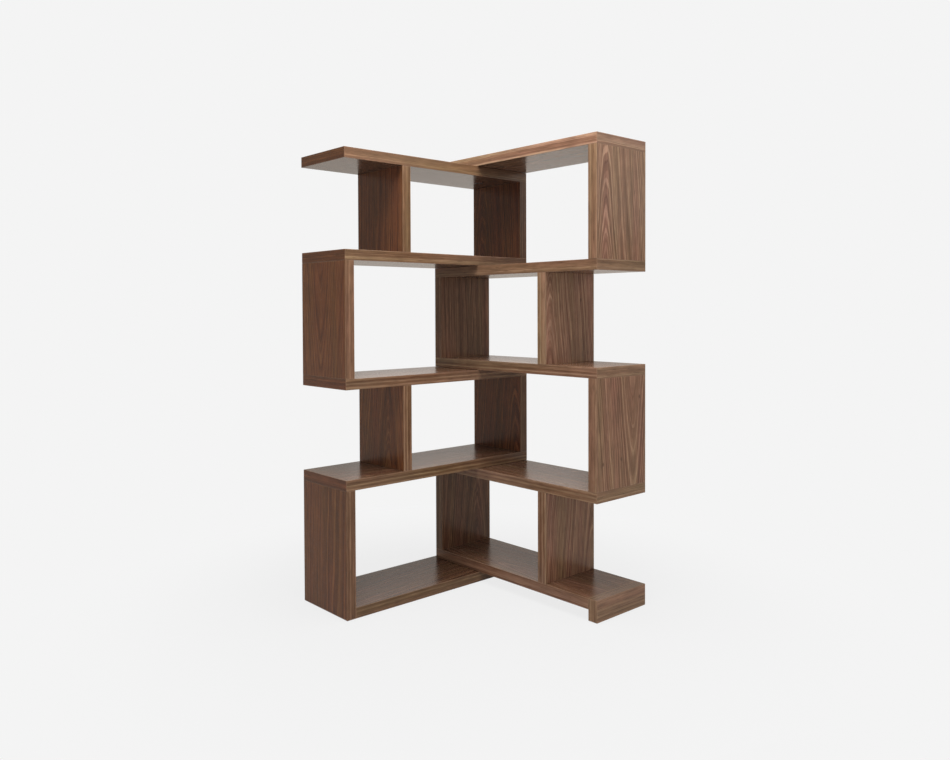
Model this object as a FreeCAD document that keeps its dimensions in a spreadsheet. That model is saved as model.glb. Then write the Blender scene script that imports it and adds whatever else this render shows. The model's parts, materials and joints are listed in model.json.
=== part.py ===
import FreeCAD, Part
import os
import re

import Sketcher
from FreeCAD import Placement, Rotation, Vector

# Zigzag bookshelf: two interleaved wings of walnut boards that meet in a corner. Each wing is a
# zigzag of five shelves and the uprights between them. At every level one shelf of each wing lies
# on the other, and a pivot through each pair lets the right wing swing about the corner.
#
# Millimetres, +Z up, the floor at zero, the origin under the middle of the rectangle that both wings
# span. The left wing runs along X with its front edge towards -Y. The right wing runs along Y with
# its front edge towards -X. They share the corner at +X, +Y, where the right wing stops a little
# short of the left wing's back.

SIZES = {
    # boards
    "board_thickness": 41,
    "shelf_depth": 300,
    "left_wing_length": 980,
    "right_wing_length": 910,
    "corner_setback": 20,
    "tall_bay_height": 360,
    "short_bay_height": 338,
    "left_divider_inset": 274,
    "right_divider_inset": 252,
    "arris_radius": 1,
    # felt pads under the boards that stand on the floor
    "pad_height": 3,
    "pad_diameter": 30,
    "pad_inset": 40,
    # dowels of the board joints
    "dowel_diameter": 10,
    "dowel_length": 50,
    "dowel_end_room": 1,
    "dowel_edge_inset": 45,
    # radial room round glued and pressed pieces, and the chamfer on their rims
    "fit_clearance": 0.1,
    "rim_chamfer": 0.8,
    # pivots between the two shelves of a level
    "running_gap": 1,
    "running_clearance": 0.05,
    "shoulder_diameter": 14,
    "thread_diameter": 10,
    "thread_length": 20,
    "head_diameter": 22,
    "head_height": 7,
    "head_room": 1,
    "head_end_play": 0.5,
    "socket_diameter": 9.2,
    "socket_depth": 4,
    "sleeve_diameter": 20,
    "flange_diameter": 50,
    "flange_thickness": 3,
    "well_diameter": 32,
    "insert_diameter": 18,
    "insert_length": 24,
    "cap_diameter": 38,
    "cap_thickness": 3,
    "skirt_height": 5,
    "skirt_wall": 1.5,
}

LEVELS = 5
SOCKET_SIDES = 6
QUARTER_TURN = 90
UPRIGHT = Vector(0, 0, 1)
ACROSS = Vector(0, 1, 0)

# How far the bookcase reaches along X and along Y.
WIDTH = "left_wing_length"
BREADTH = "(right_wing_length + corner_setback)"

# Places along a wing, measured from its outer end.
OUTER_END = "0"
BEHIND_END_BOARD = "board_thickness"
PIVOT_ALONG = {"left": f"{WIDTH} - shelf_depth / 2", "right": f"{BREADTH} - shelf_depth / 2"}

# Places across a wing.
MIDDLE = "shelf_depth / 2"
DOWELS_ACROSS = ("dowel_edge_inset", MIDDLE, "shelf_depth - dowel_edge_inset")
PADS_ACROSS = ("pad_inset", "shelf_depth - pad_inset")

# Heights above the underside of a pair's lower shelf.
HEAD_LEVEL = "(cap_thickness + head_room)"
WELL_DEPTH = "(cap_thickness + head_room + head_height + head_end_play)"
UPPER_SHELF = "(board_thickness + running_gap)"

DOWEL_HOLE = "dowel_diameter + 2 * fit_clearance"
DOWEL_DEPTH = "dowel_length / 2 + dowel_end_room"

doc = FreeCAD.newDocument("ZigzagBookshelf")
sheet = doc.addObject("Spreadsheet::Sheet", "Sizes")
for row, (size, value) in enumerate(SIZES.items(), start=1):
    sheet.set(f"A{row}", size)
    sheet.set(f"B{row}", str(value))
    sheet.setAlias(f"B{row}", size)
doc.recompute()

nodes = []


def formula(text):
    """A formula in size names, with each name as its address in the sheet."""
    return re.sub(r"[a-z_]+", r"Sizes.\g<0>", text)


def measure(text):
    """What a formula comes to now."""
    return float(sheet.evalExpression(formula(text)))


def drawing(body, name, plane, lift="0"):
    """A sketch on one of a body's own planes, lifted along that plane's normal."""
    sketch = body.newObject("Sketcher::SketchObject", name)
    support = next(feature for feature in body.Origin.OriginFeatures if feature.Role == plane)
    sketch.AttachmentSupport = [(support, "")]
    sketch.MapMode = "FlatFace"
    if lift != "0":
        sketch.setExpression("AttachmentOffset.Base.z", formula(lift))
    return sketch


def dimension(sketch, constraint, text):
    """A driving dimension of a sketch, bound to a formula."""
    index = sketch.addConstraint(constraint)
    sketch.setExpression(f"Constraints[{index}]", formula(text))


def fix_point(sketch, edge, point, across, up):
    """Holds a point at its distances from the sketch's origin, or on the axis where one is zero."""
    origin, horizontal, vertical = -1, -1, -2
    for kind, axis, distance in (("DistanceX", vertical, across), ("DistanceY", horizontal, up)):
        if distance == "0":
            sketch.addConstraint(Sketcher.Constraint("PointOnObject", edge, point, axis))
        else:
            length = measure(distance)
            dimension(sketch, Sketcher.Constraint(kind, origin, 1, edge, point, length), distance)


def outline(sketch, points):
    """A closed outline through points given as pairs of formulas."""
    corners = [Vector(measure(across), measure(up), 0) for across, up in points]
    following = corners[1:] + corners[:1]
    for corner, after in zip(corners, following):
        sketch.addGeometry(Part.LineSegment(corner, after))
    for edge, (across, up) in enumerate(points):
        sketch.addConstraint(Sketcher.Constraint("Coincident", edge, 2, (edge + 1) % len(points), 1))
        fix_point(sketch, edge, 1, across, up)


def place(feature, wing, along, across, level, lay=Rotation()):
    """Puts a piece at its place in a wing: along it from the outer end, across it and up."""
    if wing == "left":
        base = (f"{along} - {WIDTH} / 2", f"{BREADTH} / 2 - shelf_depth + {across}", level)
        turn = Rotation()
    else:
        base = (f"{WIDTH} / 2 - ({across})", f"{along} - {BREADTH} / 2", level)
        turn = Rotation(UPRIGHT, QUARTER_TURN)
    feature.Placement = Placement(Vector(), turn * lay)
    for axis, distance in zip("xyz", base):
        feature.setExpression(f"Placement.Base.{axis}", formula(distance))


def new_body(label):
    """An empty body that becomes a node of its own."""
    body = doc.addObject("PartDesign::Body", label)
    body.Label = label
    nodes.append(body)
    return body


def board(label, wing, start, bottom, length, height):
    """A board as deep as the shelves, with every arris eased."""
    body = new_body(label)
    face = drawing(body, f"{label}_outline", "XY_Plane")
    outline(face, [("0", "0"), (length, "0"), (length, "shelf_depth"), ("0", "shelf_depth")])
    blank = body.newObject("PartDesign::Pad", f"{label}_blank")
    blank.Profile = face
    blank.setExpression("Length", formula(height))
    doc.recompute()
    arris = body.newObject("PartDesign::Fillet", f"{label}_arris")
    arris.Base = (blank, ["Edge1"])
    arris.UseAllEdges = True
    arris.setExpression("Radius", formula("arris_radius"))
    place(body, wing, start, "0", bottom)
    return body


def drill(body, name, plane, lift, diameter, places, depth, with_normal):
    """Round holes into a body from one plane, along the plane's normal or against it."""
    sketch = drawing(body, f"{body.Label}_{name}_places", plane, lift)
    for across, up in places:
        centre = Vector(measure(across), measure(up), 0)
        circle = sketch.addGeometry(Part.Circle(centre, UPRIGHT, measure(diameter) / 2))
        dimension(sketch, Sketcher.Constraint("Diameter", circle, measure(diameter)), diameter)
        fix_point(sketch, circle, 3, across, up)
    holes = body.newObject("PartDesign::Pocket", f"{body.Label}_{name}")
    holes.Profile = sketch
    holes.setExpression("Length", formula(depth))
    holes.Reversed = with_normal


def drill_row(body, name, plane, lift, rows, with_normal):
    """Dowel holes in rows across a board, each row at its own distance along it."""
    places = [(row, across) for row in rows for across in DOWELS_ACROSS]
    drill(body, name, plane, lift, DOWEL_HOLE, places, DOWEL_DEPTH, with_normal)


def turned(label, section, level):
    """A round piece on the pivots' axis: its half section, as radius and height, turned once round."""
    body = new_body(label)
    sketch = drawing(body, f"{label}_section", "XZ_Plane")
    outline(sketch, section)
    turn = body.newObject("PartDesign::Revolution", f"{label}_turn")
    turn.Profile = sketch
    turn.ReferenceAxis = (sketch, ["V_Axis"])
    place(body, "left", PIVOT_ALONG["left"], MIDDLE, level)
    return body


def group(label, pieces):
    """Like pieces that share a node, each still a solid of its own."""
    together = doc.addObject("Part::Compound", label)
    together.Label = label
    together.Links = pieces
    nodes.append(together)


def rod(label, diameter, length):
    """A plain round piece, standing on its own base."""
    piece = doc.addObject("Part::Cylinder", label)
    piece.setExpression("Radius", formula(f"({diameter}) / 2"))
    piece.setExpression("Height", formula(length))
    return piece


# Levels: which wing's shelf lies below alternates, and so do the two bay heights.
lower_wing = {}
shelf_level = {}
floor_level = "pad_height"
for level in range(1, LEVELS + 1):
    lower, upper = ("left", "right") if level % 2 else ("right", "left")
    lower_wing[level] = lower
    shelf_level[lower, level] = floor_level
    shelf_level[upper, level] = f"{floor_level} + {UPPER_SHELF}"
    bay_height = "tall_bay_height" if level % 2 else "short_bay_height"
    floor_level = f"{shelf_level[upper, level]} + board_thickness + {bay_height}"

# Uprights: a wing's bays hold by turns an end panel, or a divider and a corner panel.
# Each is noted as label, wing, place along the wing, the shelf it stands on and the one it carries.
uprights = []
for wing, first_end_bay in (("left", 1), ("right", 2)):
    for bay in range(1, LEVELS):
        storey = "lower" if bay <= LEVELS // 2 else "upper"
        if bay % 2 == first_end_bay % 2:
            members = {"end_panel": OUTER_END}
        else:
            corner_panel_start = f"{wing}_wing_length - board_thickness"
            members = {"divider": f"{wing}_divider_inset", "corner_panel": corner_panel_start}
        for member, start in members.items():
            uprights.append((f"{wing}_{member}_{storey}", wing, start, bay))

# Dowel rows that meet each shelf, and the dowels themselves.
rows_above = {}
rows_below = {}
dowels = {"left": [], "right": []}


def dowel_row(wing, along, level, lay=Rotation()):
    """The dowels of one joint, as a row across the wing."""
    for across in DOWELS_ACROSS:
        dowel = rod(f"{wing}_dowel_{len(dowels[wing]) + 1}", "dowel_diameter", "dowel_length")
        place(dowel, wing, along, across, level, lay)
        dowels[wing].append(dowel)


for label, wing, start, bay in uprights:
    carried = shelf_level[wing, bay + 1]
    stands_on_floor = label == "left_end_panel_lower"
    bottom = "pad_height" if stands_on_floor else f"{shelf_level[wing, bay]} + board_thickness"
    height = f"{carried} - ({bottom})"
    panel = board(label, wing, start, bottom, "board_thickness", height)
    middle = f"{start} + board_thickness / 2"
    drill_row(panel, "top_holes", "XY_Plane", height, ["board_thickness / 2"], False)
    rows_below.setdefault((wing, bay + 1), []).append(middle)
    dowel_row(wing, middle, f"{carried} - dowel_length / 2")
    if not stands_on_floor:
        drill_row(panel, "foot_holes", "XY_Plane", "0", ["board_thickness / 2"], True)
        rows_above.setdefault((wing, bay), []).append(middle)
        dowel_row(wing, middle, f"{bottom} - dowel_length / 2")

# The foot board under the outer end of the right wing reaches from the floor to its lowest shelf.
foot_height = f"{shelf_level['right', 1]} + board_thickness - pad_height"
board("right_foot_board", "right", OUTER_END, "pad_height", "board_thickness", foot_height)

# The lowest shelf of each wing butts against a board that covers its outer end.
end_boards = {"left": "left_end_panel_lower", "right": "right_foot_board"}
for wing, label in end_boards.items():
    height = f"{shelf_level[wing, 1]} - pad_height + board_thickness / 2"
    places = [(across, height) for across in DOWELS_ACROSS]
    end_board = doc.getObject(label)
    drill(end_board, "side_holes", "YZ_Plane", "board_thickness", DOWEL_HOLE, places, DOWEL_DEPTH, False)
    level = f"{shelf_level[wing, 1]} + board_thickness / 2"
    along = f"{BEHIND_END_BOARD} - dowel_length / 2"
    dowel_row(wing, along, level, Rotation(ACROSS, QUARTER_TURN))

for wing in ("left", "right"):
    for level in range(1, LEVELS + 1):
        start = BEHIND_END_BOARD if level == 1 else OUTER_END
        length = f"{wing}_wing_length - ({start})"
        shelf = board(f"{wing}_shelf_{level}", wing, start, shelf_level[wing, level], length, "board_thickness")
        if level == 1:
            places = [(across, "board_thickness / 2") for across in DOWELS_ACROSS]
            drill(shelf, "end_holes", "YZ_Plane", "0", DOWEL_HOLE, places, DOWEL_DEPTH, True)
        if (wing, level) in rows_above:
            rows = [f"{row} - ({start})" for row in rows_above[wing, level]]
            drill_row(shelf, "top_holes", "XY_Plane", "board_thickness", rows, False)
        if (wing, level) in rows_below:
            rows = [f"{row} - ({start})" for row in rows_below[wing, level]]
            drill_row(shelf, "under_holes", "XY_Plane", "0", rows, True)
        pivot = [(f"{PIVOT_ALONG[wing]} - ({start})", MIDDLE)]
        if wing == lower_wing[level]:
            cap_recess = "cap_diameter + 2 * fit_clearance"
            sleeve_bore = "sleeve_diameter + 2 * fit_clearance"
            flange_recess = "flange_diameter + 2 * fit_clearance"
            flange_depth = "flange_thickness - running_gap"
            drill(shelf, "cap_recess", "XY_Plane", "0", cap_recess, pivot, "cap_thickness", True)
            drill(shelf, "bolt_well", "XY_Plane", "0", "well_diameter", pivot, WELL_DEPTH, True)
            drill(shelf, "sleeve_bore", "XY_Plane", "0", sleeve_bore, pivot, "board_thickness", True)
            drill(shelf, "flange_recess", "XY_Plane", "board_thickness", flange_recess, pivot, flange_depth, False)
        else:
            insert_bore = "insert_diameter + 2 * fit_clearance"
            drill(shelf, "insert_bore", "XY_Plane", "0", insert_bore, pivot, "insert_length", True)

# Pivots: the bolt is fixed in the upper shelf and turns in a flanged bush in the lower one.
shoulder_end = f"{UPPER_SHELF} - {HEAD_LEVEL}"
bolt_end = f"{shoulder_end} + thread_length"
bolt_section = [
    ("0", "0"),
    ("head_diameter / 2 - rim_chamfer", "0"),
    ("head_diameter / 2", "rim_chamfer"),
    ("head_diameter / 2", "head_height"),
    ("shoulder_diameter / 2", "head_height"),
    ("shoulder_diameter / 2", shoulder_end),
    ("thread_diameter / 2", shoulder_end),
    ("thread_diameter / 2", f"{bolt_end} - rim_chamfer"),
    ("thread_diameter / 2 - rim_chamfer", bolt_end),
    ("0", bolt_end),
]
bush_end = f"{UPPER_SHELF} - {WELL_DEPTH}"
flange_start = f"{bush_end} - flange_thickness"
bush_bore = "shoulder_diameter / 2 + running_clearance"
bush_section = [
    (bush_bore, "0"),
    ("sleeve_diameter / 2", "0"),
    ("sleeve_diameter / 2", flange_start),
    ("flange_diameter / 2", flange_start),
    ("flange_diameter / 2", f"{bush_end} - rim_chamfer"),
    ("flange_diameter / 2 - rim_chamfer", bush_end),
    (bush_bore, bush_end),
]
insert_bore = "thread_diameter / 2 + fit_clearance"
insert_section = [
    (insert_bore, "0"),
    ("insert_diameter / 2", "0"),
    ("insert_diameter / 2", "insert_length - rim_chamfer"),
    ("insert_diameter / 2 - rim_chamfer", "insert_length"),
    (insert_bore, "insert_length"),
]
skirt_outside = "well_diameter / 2 - fit_clearance"
skirt_inside = f"{skirt_outside} - skirt_wall"
cap_section = [
    ("0", "0"),
    ("cap_diameter / 2 - rim_chamfer", "0"),
    ("cap_diameter / 2", "rim_chamfer"),
    ("cap_diameter / 2", "cap_thickness"),
    (skirt_outside, "cap_thickness"),
    (skirt_outside, "cap_thickness + skirt_height"),
    (skirt_inside, "cap_thickness + skirt_height"),
    (skirt_inside, "cap_thickness"),
    ("0", "cap_thickness"),
]
for level in range(1, LEVELS + 1):
    underside = shelf_level[lower_wing[level], level]
    bolt = turned(f"pivot_bolt_{level}", bolt_section, f"{underside} + {HEAD_LEVEL}")
    socket = bolt.newObject("PartDesign::SubtractivePrism", f"pivot_bolt_{level}_socket")
    socket.Polygon = SOCKET_SIDES
    socket.setExpression("Circumradius", formula("socket_diameter / 2"))
    socket.setExpression("Height", formula("socket_depth"))
    turned(f"pivot_bush_{level}", bush_section, f"{underside} + {WELL_DEPTH}")
    turned(f"pivot_insert_{level}", insert_section, f"{underside} + {UPPER_SHELF}")
    turned(f"pivot_cap_{level}", cap_section, underside)

# Felt pads: at the corners of the left wing's lowest shelf, and under the right wing's foot board.
pads_along = {
    "left": (f"{BEHIND_END_BOARD} + pad_inset", "left_wing_length - pad_inset"),
    "right": ("board_thickness / 2",),
}
for wing, places_along in pads_along.items():
    pads = []
    for along in places_along:
        for across in PADS_ACROSS:
            pad = rod(f"{wing}_pad_{len(pads) + 1}", "pad_diameter", "pad_height")
            place(pad, wing, along, across, "0")
            pads.append(pad)
    group(f"{wing}_pads", pads)
    group(f"{wing}_dowels", dowels[wing])

doc.recompute()

# Every feature has to be sound, and every hole has to have taken something away.
for feature in doc.Objects:
    if "Invalid" in feature.State or "Error" in feature.State:
        raise RuntimeError(f"{feature.Label} did not build: {feature.State}")
    if feature.TypeId == "PartDesign::Pocket":
        if feature.Shape.Volume >= feature.BaseFeature.Shape.Volume:
            raise RuntimeError(f"{feature.Label} cut nothing")
for node in nodes:
    if node.Shape.isNull() or not node.Shape.isValid():
        raise RuntimeError(f"{node.Label} has no sound shape")

os.makedirs("parts", exist_ok=True)
for node in nodes:
    node.Shape.exportStep(f"parts/{node.Label}.step")
    box = node.Shape.BoundBox
    corners = (box.XMin, box.YMin, box.ZMin, box.XMax, box.YMax, box.ZMax)
    print(node.Label, len(node.Shape.Solids), [round(corner, 2) for corner in corners])
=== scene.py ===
import json
import math
import random

import bmesh
import bpy
from mathutils import Matrix, Vector


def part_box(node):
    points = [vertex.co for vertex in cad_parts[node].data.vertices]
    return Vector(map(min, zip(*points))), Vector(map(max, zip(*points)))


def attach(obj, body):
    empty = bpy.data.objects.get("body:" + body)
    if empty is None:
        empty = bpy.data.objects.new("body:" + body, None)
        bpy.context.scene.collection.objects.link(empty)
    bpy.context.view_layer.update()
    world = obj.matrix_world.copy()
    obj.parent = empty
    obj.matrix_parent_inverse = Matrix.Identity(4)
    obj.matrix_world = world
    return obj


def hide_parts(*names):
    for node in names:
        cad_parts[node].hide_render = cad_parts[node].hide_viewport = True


# Zigzag bookshelf: walnut veneered boards with solid lippings on their edges, doweled together into
# two wings that share a corner, with hidden pivots between the stacked shelves. Metres, +Z up.

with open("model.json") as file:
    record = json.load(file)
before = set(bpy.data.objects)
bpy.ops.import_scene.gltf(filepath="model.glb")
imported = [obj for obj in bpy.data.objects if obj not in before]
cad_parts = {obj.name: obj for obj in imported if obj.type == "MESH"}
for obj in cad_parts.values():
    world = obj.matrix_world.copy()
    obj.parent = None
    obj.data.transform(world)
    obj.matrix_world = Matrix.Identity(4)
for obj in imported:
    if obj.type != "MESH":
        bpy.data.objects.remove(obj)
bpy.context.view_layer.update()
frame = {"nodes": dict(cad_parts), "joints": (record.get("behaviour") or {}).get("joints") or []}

MM = 0.001
X, Y, Z = range(3)

# Boards
ARRIS_RADIUS = 1.0 * MM
ARRIS_STEPS = 3
ARRIS_REACH = 1.05 * ARRIS_RADIUS
LIPPING_THICKNESS = 6.0 * MM
GRAIN_MAP = "grain"
ARRIS_LAYER = "arris"
TONE_AND_SHADE_LAYER = "tone"
SLICE_LAYER = "slice"
GRAIN_SPREAD = 8.0
SLICE_SPREAD = 40
SHARP_ANGLE = math.radians(40)
MERGE_DISTANCE = 0.001 * MM

# Dowels: plain beech, fluted, three to a joint
DOWEL_RADIUS = 5.0 * MM
DOWEL_LENGTH = 50.0 * MM
DOWEL_EDGE_INSET = 45.0 * MM
DOWEL_CHAMFER = 1.2 * MM
FLUTES = 14
FLUTE_DEPTH = 0.45 * MM
HOLE_ROOM = 0.1 * MM
HOLE_END_ROOM = 1.0 * MM
HOLE_SIDES = 24

# Pivots: bush and cap in the lower shelf of a level, bolt and insert in the upper one
SHOULDER_RADIUS = 7.0 * MM
THREAD_RADIUS = 5.0 * MM
THREAD_PITCH = 1.5 * MM
THREAD_DEPTH = 0.8 * MM
THREAD_LENGTH = 20.0 * MM
HEAD_HEIGHT = 7.0 * MM
SOCKET_RADIUS = 4.6 * MM
SOCKET_DEPTH = 4.0 * MM
SLEEVE_RADIUS = 10.0 * MM
FLANGE_THICKNESS = 3.0 * MM
WELL_RADIUS = 16.0 * MM
CAP_THICKNESS = 3.0 * MM
CAP_DISH = 0.6 * MM
CAP_RIM = 3.0 * MM
SKIRT_WALL = 1.5 * MM
RIM_CHAMFER = 0.8 * MM
RUNNING_CLEARANCE = 0.05 * MM
INSERT_RIB_PITCH = 4.0 * MM
INSERT_RIB_DEPTH = 1.2 * MM
INSERT_SINK = 0.2 * MM
RIDGE_CREST_SHARES = (0.35, 0.65)
SOCKET_SIDES = 6
TURNED_STEPS = 48

# Felt pads
PAD_EDGE = 0.9 * MM
PAD_EDGE_ANGLES = [math.radians(angle) for angle in (30, 60, 90)]
PAD_STEPS = 40
PAD_RADIUS = 15.0 * MM
PAD_INSET = 40.0 * MM

# Growth lines of walnut: the radius of narrow arches at their tips, and how far a line ripples
HEART_DEPTH = 34.0 * MM
RIPPLE_HEIGHT = 5.0 * MM

VENEER, LIPPING, CORE = range(3)
LEVELS = range(1, 6)

UPRIGHT = Vector((0, 0, 1))
pivot_foot = Vector(frame["joints"][0]["pos_m"])
pivot_foot.z = 0


# Node trees

class Tree:
    """Lays nodes in a tree and joins them as they are named."""

    def __init__(self, tree):
        self.tree = tree

    def feed(self, socket, value):
        """Joins a socket to another one, or gives it a plain value."""
        if isinstance(value, bpy.types.NodeSocket):
            self.tree.links.new(value, socket)
        else:
            socket.default_value = value

    def add(self, kind, inputs=None, **settings):
        """A new node with its settings and inputs."""
        node = self.tree.nodes.new(kind)
        for setting, value in settings.items():
            setattr(node, setting, value)
        for name, value in (inputs or {}).items():
            self.feed(node.inputs[name], value)
        return node

    def math(self, operation, *values):
        """The result of one sum."""
        node = self.add("ShaderNodeMath", operation=operation)
        for socket, value in zip(node.inputs, values):
            self.feed(socket, value)
        return node.outputs[0]

    def stretch(self, vector, factors):
        """A vector with each of its parts multiplied."""
        node = self.add("ShaderNodeVectorMath", operation="MULTIPLY")
        self.feed(node.inputs[0], vector)
        node.inputs[1].default_value = factors
        return node.outputs[0]

    def span(self, value, low, high, to_low=0.0, to_high=1.0):
        """A value eased from one range into another."""
        inputs = {"Value": value, "From Min": low, "From Max": high, "To Min": to_low, "To Max": to_high}
        return self.add("ShaderNodeMapRange", inputs, interpolation_type="SMOOTHSTEP").outputs[0]

    def noise(self, vector, factors, detail=2.0, roughness=0.5, distortion=0.0):
        """A cloudy value from 0 to 1, with its size along each direction set by the factors."""
        inputs = {
            "Vector": self.stretch(vector, factors), "Scale": 1.0, "Detail": detail,
            "Roughness": roughness, "Distortion": distortion,
        }
        return self.add("ShaderNodeTexNoise", inputs).outputs[0]

    def noise_line(self, place, scale, detail):
        """A wandering value from 0 to 1 along a line."""
        inputs = {"W": place, "Scale": scale, "Detail": detail, "Roughness": 0.5}
        return self.add("ShaderNodeTexNoise", inputs, noise_dimensions="1D").outputs[0]

    def blend(self, factor, under, over, mode="MIX"):
        """One colour laid over another."""
        node = self.add("ShaderNodeMix", data_type="RGBA", blend_type=mode)
        self.feed(node.inputs[0], factor)
        self.feed(node.inputs[6], under)
        self.feed(node.inputs[7], over)
        return node.outputs[2]

    def ramp(self, value, stops):
        """Colours along a value, as pairs of place and colour."""
        node = self.add("ShaderNodeValToRGB", {"Fac": value})
        elements = node.color_ramp.elements
        while len(elements) < len(stops):
            elements.new(1.0)
        for element, (place, colour) in zip(elements, stops):
            element.position = place
            element.color = (*colour, 1.0)
        return node.outputs[0]

    def use(self, group, inputs):
        """A node group with its own values."""
        return self.add("ShaderNodeGroup", inputs, node_tree=group).outputs


def new_group(name, inputs, outputs):
    """An empty node group with named sockets, its inputs and the node that takes its results."""
    tree = bpy.data.node_groups.new(name, "ShaderNodeTree")
    for socket, kind in inputs.items():
        tree.interface.new_socket(socket, in_out="INPUT", socket_type=f"NodeSocket{kind}")
    for socket, kind in outputs.items():
        tree.interface.new_socket(socket, in_out="OUTPUT", socket_type=f"NodeSocket{kind}")
    taken = tree.nodes.new("NodeGroupInput").outputs
    given = tree.nodes.new("NodeGroupOutput").inputs
    return tree, Tree(tree), taken, given


def new_finish(name, roughness=None, metallic=0.0):
    """A material, its tree and its shader."""
    material = bpy.data.materials.new(name)
    material.use_nodes = True
    tree = Tree(material.node_tree)
    shader = material.node_tree.nodes["Principled BSDF"]
    shader.inputs["Metallic"].default_value = metallic
    if roughness is not None:
        shader.inputs["Roughness"].default_value = roughness
    return material, tree, shader


def make_growth_figure():
    """Growth lines of sliced veneer: arches where the cut runs by the log's heart, straight lines beside it.

    Grain runs along the map's first direction. A slice holds the heart's place across the grain, the log's
    taper and a number that sets its lines apart from those of other slices.
    """
    group, tree, taken, given = new_group(
        "growth_figure",
        {"Grain": "Vector", "Slice": "Vector", "Line Spacing": "Float", "Sway": "Float"},
        {"Figure": "Float"},
    )
    place = tree.add("ShaderNodeSeparateXYZ", {"Vector": taken["Grain"]}).outputs
    log = tree.add("ShaderNodeSeparateXYZ", {"Vector": taken["Slice"]}).outputs
    sway = tree.math("SUBTRACT", tree.noise(taken["Grain"], (1.6, 6.0, 1.0)), 0.5)
    from_heart = tree.math("SUBTRACT", place["Y"], log["X"])
    from_heart = tree.math("MULTIPLY_ADD", sway, taken["Sway"], from_heart)

    sides = [tree.math("MULTIPLY", side, side) for side in (from_heart, HEART_DEPTH)]
    radius = tree.math("SQRT", tree.math("ADD", *sides))
    radius = tree.math("MULTIPLY_ADD", place["X"], log["Y"], radius)
    ripple = tree.math("SUBTRACT", tree.noise(taken["Grain"], (12.0, 60.0, 1.0)), 0.5)
    radius = tree.math("MULTIPLY_ADD", ripple, RIPPLE_HEIGHT, radius)

    rings = tree.math("ADD", tree.math("DIVIDE", radius, taken["Line Spacing"]), log["Z"])
    bands = tree.noise_line(rings, scale=0.4, detail=2.0)
    lines = tree.noise_line(rings, scale=0.9, detail=1.0)
    hairlines = tree.noise_line(rings, scale=2.3, detail=1.0)
    figure = tree.math("MULTIPLY_ADD", bands, 0.8, 0.1)
    pale_and_dark = (
        (lines, 0.57, 0.70, 0.26), (lines, 0.43, 0.28, -0.22),
        (hairlines, 0.58, 0.66, 0.30), (hairlines, 0.44, 0.32, -0.15),
    )
    for value, start, full, strength in pale_and_dark:
        figure = tree.math("MULTIPLY_ADD", tree.span(value, start, full), strength, figure)
    tree.feed(given["Figure"], figure)
    return group


def make_open_pores():
    """Fine fibre, the short dark pores of the wood and longer dark flecks, all drawn out along the grain."""
    group, tree, taken, given = new_group(
        "open_pores", {"Grain": "Vector"}, {"Fibre": "Float", "Pores": "Float", "Flecks": "Float"}
    )
    fibre = tree.noise(taken["Grain"], (14.0, 330.0, 1.0), detail=3.0, roughness=0.6)
    specks = tree.noise(taken["Grain"], (60.0, 1500.0, 1.0), detail=1.0)
    crowding = tree.noise(taken["Grain"], (3.0, 90.0, 1.0), detail=1.0)
    specks = tree.math("MULTIPLY_ADD", tree.math("SUBTRACT", crowding, 0.5), 0.25, specks)
    flecks = tree.noise(taken["Grain"], (20.0, 240.0, 1.0), detail=1.0)
    tree.feed(given["Fibre"], fibre)
    tree.feed(given["Pores"], tree.span(specks, 0.60, 0.70))
    tree.feed(given["Flecks"], tree.span(flecks, 0.64, 0.74))
    return group


def make_mineral_streaks():
    """Long dark mineral streaks, narrow stripes, and slow changes of hue and light along the grain."""
    group, tree, taken, given = new_group(
        "mineral_streaks", {"Grain": "Vector"},
        {"Streaks": "Float", "Stripes": "Float", "Hue": "Float", "Shimmer": "Float"},
    )
    streaks = tree.noise(taken["Grain"], (0.9, 45.0, 1.0), detail=2.0)
    stripes = tree.noise(taken["Grain"], (8.0, 85.0, 1.0), detail=2.0)
    hue = tree.noise(taken["Grain"], (1.2, 16.0, 1.0), detail=1.0)
    shimmer = tree.noise(taken["Grain"], (20.0, 7.0, 1.0), detail=1.0)
    tree.feed(given["Streaks"], tree.span(streaks, 0.56, 0.74))
    tree.feed(given["Stripes"], stripes)
    tree.feed(given["Hue"], hue)
    tree.feed(given["Shimmer"], shimmer)
    return group


def make_pin_knots():
    """Small scattered knots."""
    group, tree, taken, given = new_group("pin_knots", {"Grain": "Vector"}, {"Knots": "Float"})
    cells = tree.add(
        "ShaderNodeTexVoronoi",
        {"Vector": tree.stretch(taken["Grain"], (4.0, 7.0, 1.0)), "Scale": 1.0},
        voronoi_dimensions="2D",
    ).outputs
    draw = tree.add("ShaderNodeSeparateColor", {"Color": cells["Color"]}).outputs["Red"]
    present = tree.span(draw, 0.86, 0.88)
    spot = tree.span(cells["Distance"], 0.012, 0.045, 1.0, 0.0)
    tree.feed(given["Knots"], tree.math("MULTIPLY", spot, present))
    return group


def make_edge_wear_and_highlight():
    """Where hands and cloths have rubbed the arrises, broken up along the edge: partly real wear, partly a
    painted highlight along the arrises.
    """
    group, tree, taken, given = new_group(
        "edge_wear_and_highlight", {"Arris": "Float", "Grain": "Vector"}, {"Wear And Highlight": "Float"}
    )
    patches = tree.noise(taken["Grain"], (14.0, 14.0, 1.0), detail=3.0)
    rubbed = tree.span(taken["Arris"], 0.45, 1.0)
    tree.feed(given["Wear And Highlight"], tree.math("MULTIPLY", rubbed, tree.span(patches, 0.2, 0.65)))
    return group


growth_figure = make_growth_figure()
open_pores = make_open_pores()
mineral_streaks = make_mineral_streaks()
pin_knots = make_pin_knots()
edge_wear_and_highlight = make_edge_wear_and_highlight()
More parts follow.
